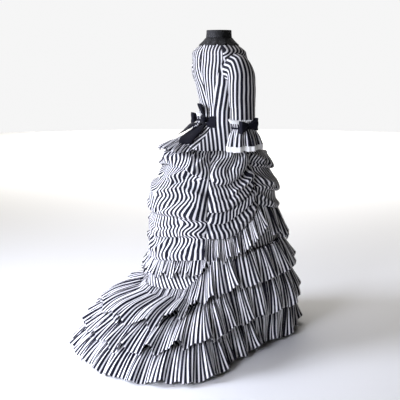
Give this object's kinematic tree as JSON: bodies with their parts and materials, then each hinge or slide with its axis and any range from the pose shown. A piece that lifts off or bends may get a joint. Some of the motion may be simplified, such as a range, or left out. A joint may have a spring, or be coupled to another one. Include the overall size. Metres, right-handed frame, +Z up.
{
  "type": "bustle dress",
  "caption": "Striped cotton bustle dress, worn shape: fitted basque bodice, elbow sleeves with frills and bows, draped overskirt and flounced underskirt with a short train.",
  "frame": {"origin": "middle of the waist, on the body's axis, where the skirts hang from the wearer", "axes": "+Z up; the dress faces -Y; the wearer's right side is at -X; the floor is at z = -1.04 m"},
  "size_m": [0.988, 1.2478, 1.466],
  "materials": {
    "striped_cotton": "crisp plain weave with black and white stripes",
    "white_cotton": "fine plain weave",
    "black_velvet": "short pile",
    "black_lace": "openwork"
  },
  "bodies": {
    "root": {"underskirt": "striped_cotton", "flounce_upper": "striped_cotton", "flounce_middle": "striped_cotton", "flounce_hem": "striped_cotton", "overskirt_front": "striped_cotton", "overskirt_side_right": "striped_cotton", "overskirt_side_left": "striped_cotton", "overskirt_back": "striped_cotton", "overskirt_front_frill": "striped_cotton", "overskirt_side_frill_right": "striped_cotton", "overskirt_side_frill_left": "striped_cotton", "overskirt_back_frill": "striped_cotton", "bodice_front_right": "striped_cotton", "bodice_front_left": "striped_cotton", "bodice_side_right": "striped_cotton", "bodice_side_left": "striped_cotton", "bodice_back_right": "striped_cotton", "bodice_back_left": "striped_cotton", "basque_frill": "striped_cotton", "sleeve_right": "striped_cotton", "sleeve_left": "striped_cotton", "elbow_frill_right": "striped_cotton", "elbow_frill_left": "striped_cotton", "elbow_band_right": "white_cotton", "elbow_band_left": "white_cotton", "elbow_ribbon_right": "black_velvet", "elbow_ribbon_left": "black_velvet", "elbow_bow_right": "black_velvet", "elbow_bow_left": "black_velvet", "elbow_knot_right": "black_velvet", "elbow_knot_left": "black_velvet", "elbow_tail_right": "black_velvet", "elbow_tail_left": "black_velvet", "sash_right": "black_velvet", "sash_left": "black_velvet", "sash_knot": "black_velvet", "sash_loop": "black_velvet", "sash_tail_long": "black_velvet", "sash_tail_short": "black_velvet", "collar": "black_lace", "collar_lace": "black_lace"}
  },
  "joints": []
}
